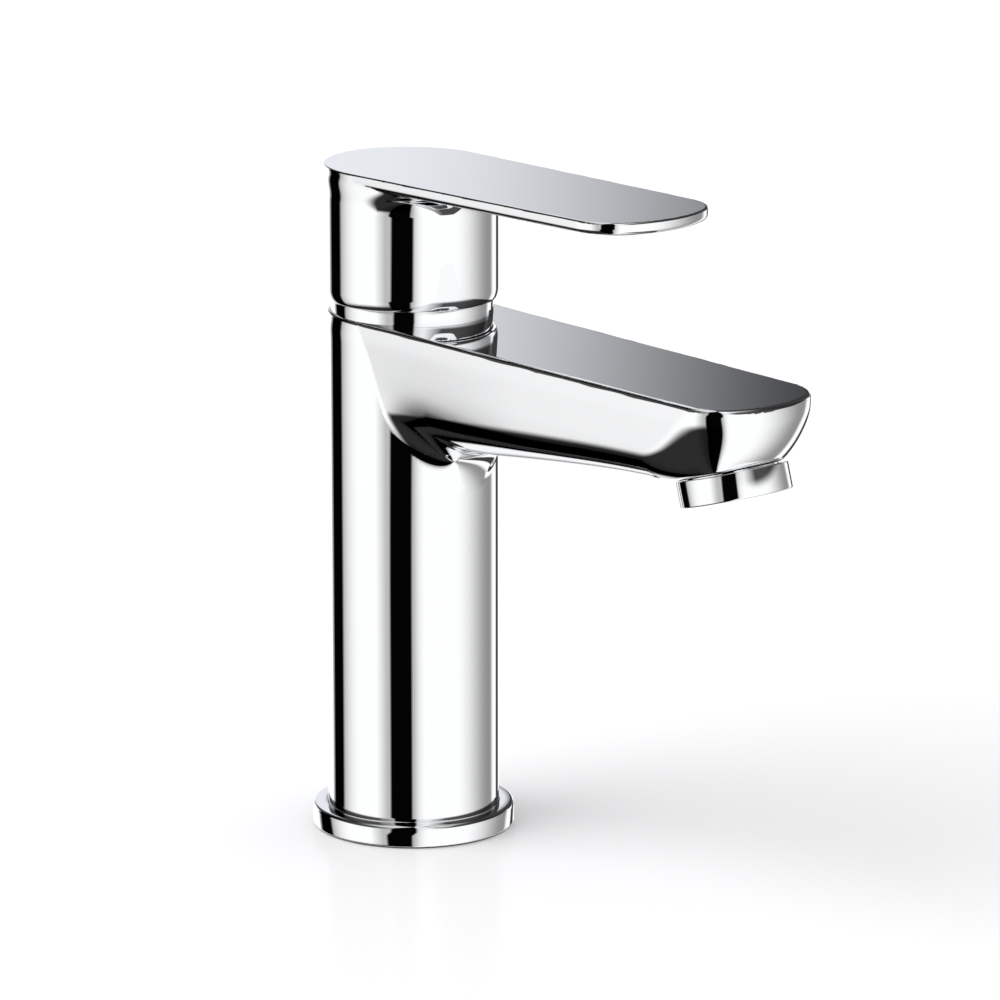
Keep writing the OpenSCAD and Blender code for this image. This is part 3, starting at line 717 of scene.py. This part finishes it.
# %% Dome ring, flange and aerator ring
def bow(centre_z, r, start_r, end_r, steps=12):
    """Points on a circle about (0, centre_z), from one distance off the axis to another."""
    a, b = math.asin(start_r / r), math.asin(end_r / r)
    angles = [a + (b - a) * k / steps for k in range(steps + 1)]
    return [(r * math.sin(t), centre_z + r * math.cos(t), 0) for t in angles]


BAND_R, NUT_R = DOME_HI[0], 18.9
dome_band = turned("dome_band", [
    (NUT_R, DOME_LO[2], 0.2), (NUT_R, TOP_Z - BAND_SINK, 0), (BAND_R, TOP_Z - BAND_SINK, 0.15),
    *bow(PIVOT_Z, DOME_R, BAND_R, 14.6), (14.45, PIVOT_Z + 17.9, 0),
    *bow(PIVOT_Z, DOME_R - 1.6, 14.45, 17.6), (17.6, DOME_LO[2], 0.2),
])
dome_band.data.materials.append(FINISH["polished_chrome"])
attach(dome_band, "root")
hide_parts("dome_ring")

FLANGE_R, FOOT_Z, FLANGE_TOP = FLANGE_HI[0], FLANGE_LO[2], FLANGE_HI[2]
FLANGE_BORE, SEAT_Z, SEAT_R = COLUMN_R + 0.1, 2.0, 20.5
flange_ring = turned("flange_ring", [
    (FLANGE_R, FOOT_Z, 0.4), (FLANGE_R, FLANGE_TOP, 1.1), (FLANGE_BORE, FLANGE_TOP, 0.3),
    (FLANGE_BORE, 4.9, 0), (24.2, 4.9, 0), (24.2, 2.8, 0), (FLANGE_BORE, 2.8, 0),     # O-ring groove
    (FLANGE_BORE, SEAT_Z, 0), (SEAT_R, SEAT_Z, 0), (SEAT_R, FOOT_Z, 0),
    (23.35, FOOT_Z, 0), (23.35, 2.4, 0), (25.75, 2.4, 0), (25.75, FOOT_Z, 0),         # gasket groove
])
flange_ring.data.materials.append(FINISH["polished_chrome"])
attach(flange_ring, "root")
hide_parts("base_flange")

AERATOR = Matrix.Translation(FACE.tolist()) @ Matrix.Rotation(-FACE_TILT, 4, "Y")
AERATOR_R, AERATOR_H, BORE_R = 14.3, 7.0, 10.3
LIP_R, THREAD_R = BORE_R - 0.7, 11.9
aerator_ring = turned("aerator_ring", [
    (BORE_R, 7, 0.3), (THREAD_R, 7, 0.4), (THREAD_R, -0.2, 0), (AERATOR_R, -0.2, 0.25),
    (AERATOR_R, -AERATOR_H, 0.45), (LIP_R, -AERATOR_H, 0.5), (LIP_R, 1.4 - AERATOR_H, 0.1),
    (BORE_R, 1.8 - AERATOR_H, 0.1),
], AERATOR)
aerator_ring.data.materials.append(FINISH["polished_chrome"])
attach(aerator_ring, "root")
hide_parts("aerator_housing")
print("rings:", [len(p.data.polygons) for p in (dome_band, flange_ring, aerator_ring)])

# %% [markdown]
# ## Honeycomb screen, by Geometry Nodes
#
# The screen in the aerator is many equal cells. We build a node tree that lays cell centres on a
# hexagonal lattice, keeps those inside the rim, and sets a six-sided tube on each. Its sizes are named
# inputs, so the same tree could make any honeycomb.

# %% Node tree for a honeycomb
def honeycomb_tree():
    tree = bpy.data.node_groups.new("honeycomb", "GeometryNodeTree")
    for name, value in (("Radius", 0.01), ("Pitch", 0.0015), ("Wall", 0.0002), ("Depth", 0.0015)):
        socket = tree.interface.new_socket(name, in_out="INPUT", socket_type="NodeSocketFloat")
        socket.default_value = value
    tree.interface.new_socket("Material", in_out="INPUT", socket_type="NodeSocketMaterial")
    tree.interface.new_socket("Geometry", in_out="OUTPUT", socket_type="NodeSocketGeometry")
    net = Net(tree)
    sizes = net.node("NodeGroupInput")
    radius, pitch, wall, depth, paint = (Field(net, s) for s in list(sizes.socket.node.outputs)[:5])
    count = (radius / pitch * 2 + 3).math("CEIL")
    across, up = pitch * count, pitch * math.sqrt(0.75) * count
    lattice = net.node("GeometryNodeMeshGrid", {}, {"Size X": across, "Size Y": up, "Vertices X": count + 1,
                                                    "Vertices Y": count + 1})
    place = net.node("GeometryNodeInputPosition")
    axes = net.node("ShaderNodeSeparateXYZ", {}, {0: place})
    x, y = (Field(net, s) for s in list(axes.socket.node.outputs)[:2])
    row = (y / (pitch * math.sqrt(0.75))).math("ROUND")
    odd = row.math("FLOORED_MODULO", 2)
    shift = net.node("ShaderNodeCombineXYZ", {}, {0: odd * pitch * 0.5})
    staggered = net.node("GeometryNodeSetPosition", {}, {"Geometry": lattice, "Offset": shift})
    apart = net.node("ShaderNodeVectorMath", {"operation": "LENGTH"}, {0: place}, output=1)
    outside = apart.math("GREATER_THAN", radius - pitch * 0.25)
    kept = net.node("GeometryNodeDeleteGeometry", {"domain": "POINT"}, {"Geometry": staggered,
                                                                       "Selection": outside})
    outline = net.node("GeometryNodeCurvePrimitiveCircle", {}, {
        "Resolution": 6, "Radius": (pitch - wall) / math.sqrt(3)})
    turned_up = net.node("GeometryNodeTransform", {}, {"Geometry": outline, "Rotation": (0, 0, math.pi / 6)})
    strip = net.node("GeometryNodeCurvePrimitiveQuadrilateral", {}, {"Width": wall, "Height": depth})
    cell = net.node("GeometryNodeCurveToMesh", {}, {"Curve": turned_up, "Profile Curve": strip,
                                                    "Fill Caps": True})
    cells = net.node("GeometryNodeInstanceOnPoints", {}, {"Points": kept, "Instance": cell})
    real = net.node("GeometryNodeRealizeInstances", {}, {0: cells})
    done = net.node("GeometryNodeSetMaterial", {}, {"Geometry": real, "Material": paint})
    net.node("NodeGroupOutput", {}, {"Geometry": done})
    return tree


def grown(name, tree, values, place=Matrix.Identity(4)):
    """Runs a node tree once and keeps its result as a plain mesh."""
    piece = new_piece(name, [(0, 0, 0)], [])
    run = piece.modifiers.new("grow", "NODES")
    run.node_group = tree
    names = {item.name: item.identifier for item in tree.interface.items_tree if item.in_out == "INPUT"}
    for key, value in values.items():
        run[names[key]] = value
    mesh = bpy.data.meshes.new_from_object(piece.evaluated_get(bpy.context.evaluated_depsgraph_get()))
    piece.modifiers.clear()
    piece.data = mesh
    mesh.transform(place)
    return piece


def in_metres(place):
    moved = place.copy()
    moved.translation = place.translation * MM
    return moved


def join_into(piece, *others):
    """Melts other meshes into a piece. Both share one material."""
    together = bmesh.new()
    for part in (piece, *others):
        together.from_mesh(part.data)
    together.to_mesh(piece.data)
    together.free()
    for part in others:
        bpy.data.objects.remove(part)


screen = grown("spray_screen", honeycomb_tree(), {
    "Radius": 9.9 * MM, "Pitch": 1.7 * MM, "Wall": 0.28 * MM, "Depth": 1.1 * MM,
    "Material": FINISH["screen_plastic"],
}, in_metres(AERATOR) @ Matrix.Translation((0, 0, (2.5 - AERATOR_H) * MM)))
RIM_IN, RIM_OUT, RIM_LOW, RIM_HIGH = 9.4, 10.2, 1.95 - AERATOR_H, 3.1 - AERATOR_H
rim = turned("rim", [(RIM_IN, RIM_LOW, 0.15), (RIM_OUT, RIM_LOW, 0.15), (RIM_OUT, RIM_HIGH, 0.15),
                     (RIM_IN, RIM_HIGH, 0.15)], AERATOR)
rim.data.materials.append(FINISH["screen_plastic"])
join_into(screen, rim)
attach(screen, "root")
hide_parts("aerator_screen")
print("screen faces:", len(screen.data.polygons))

# %% [markdown]
# ## Table and light
#
# The table is white and faintly glossy, so the foot of the tap shows a soft reflection. Chrome must not
# see it, or the black flags would drown: `visible_glossy` hides it from mirrors only. A broad sun from
# the left lifts the table to pure white, and where the tap stands in its way a soft shadow stays.

# %% Table
table_paint = bpy.data.materials.new("table")
table_paint.use_nodes = True
net = Net(table_paint.node_tree)
matt = net.node("ShaderNodeBsdfDiffuse", {}, {"Color": (0.82, 0.82, 0.83, 1)})
gloss = net.node("ShaderNodeBsdfAnisotropic", {}, {"Color": (1, 1, 1, 1), "Roughness": 0.16})
both = net.node("ShaderNodeMixShader", {}, {0: 0.07, 1: matt, 2: gloss})
net.node("ShaderNodeOutputMaterial", {}, {0: both})
TABLE_HALF = 5000.0
table_corners = [(x * TABLE_HALF, y * TABLE_HALF, 0) for x, y in ((-1, -1), (1, -1), (1, 1), (-1, 1))]
table_top = new_piece("table_top", table_corners, [(0, 1, 2, 3)])
table_top.data.materials.append(table_paint)
table_top.visible_glossy = False

# %% Sun from the left
sun = bpy.data.objects.new("sun", bpy.data.lights.new("sun", "SUN"))
bpy.context.scene.collection.objects.link(sun)
sun.data.energy, sun.data.angle = 1.5, math.radians(55)
SUN_COMPASS, SUN_HEIGHT = math.radians(-118), math.radians(46)
toward = Vector((math.cos(SUN_COMPASS), math.sin(SUN_COMPASS), math.tan(SUN_HEIGHT)))
sun.rotation_mode = "QUATERNION"
sun.rotation_quaternion = toward.to_track_quat("Z", "Y")
sun.visible_glossy = False
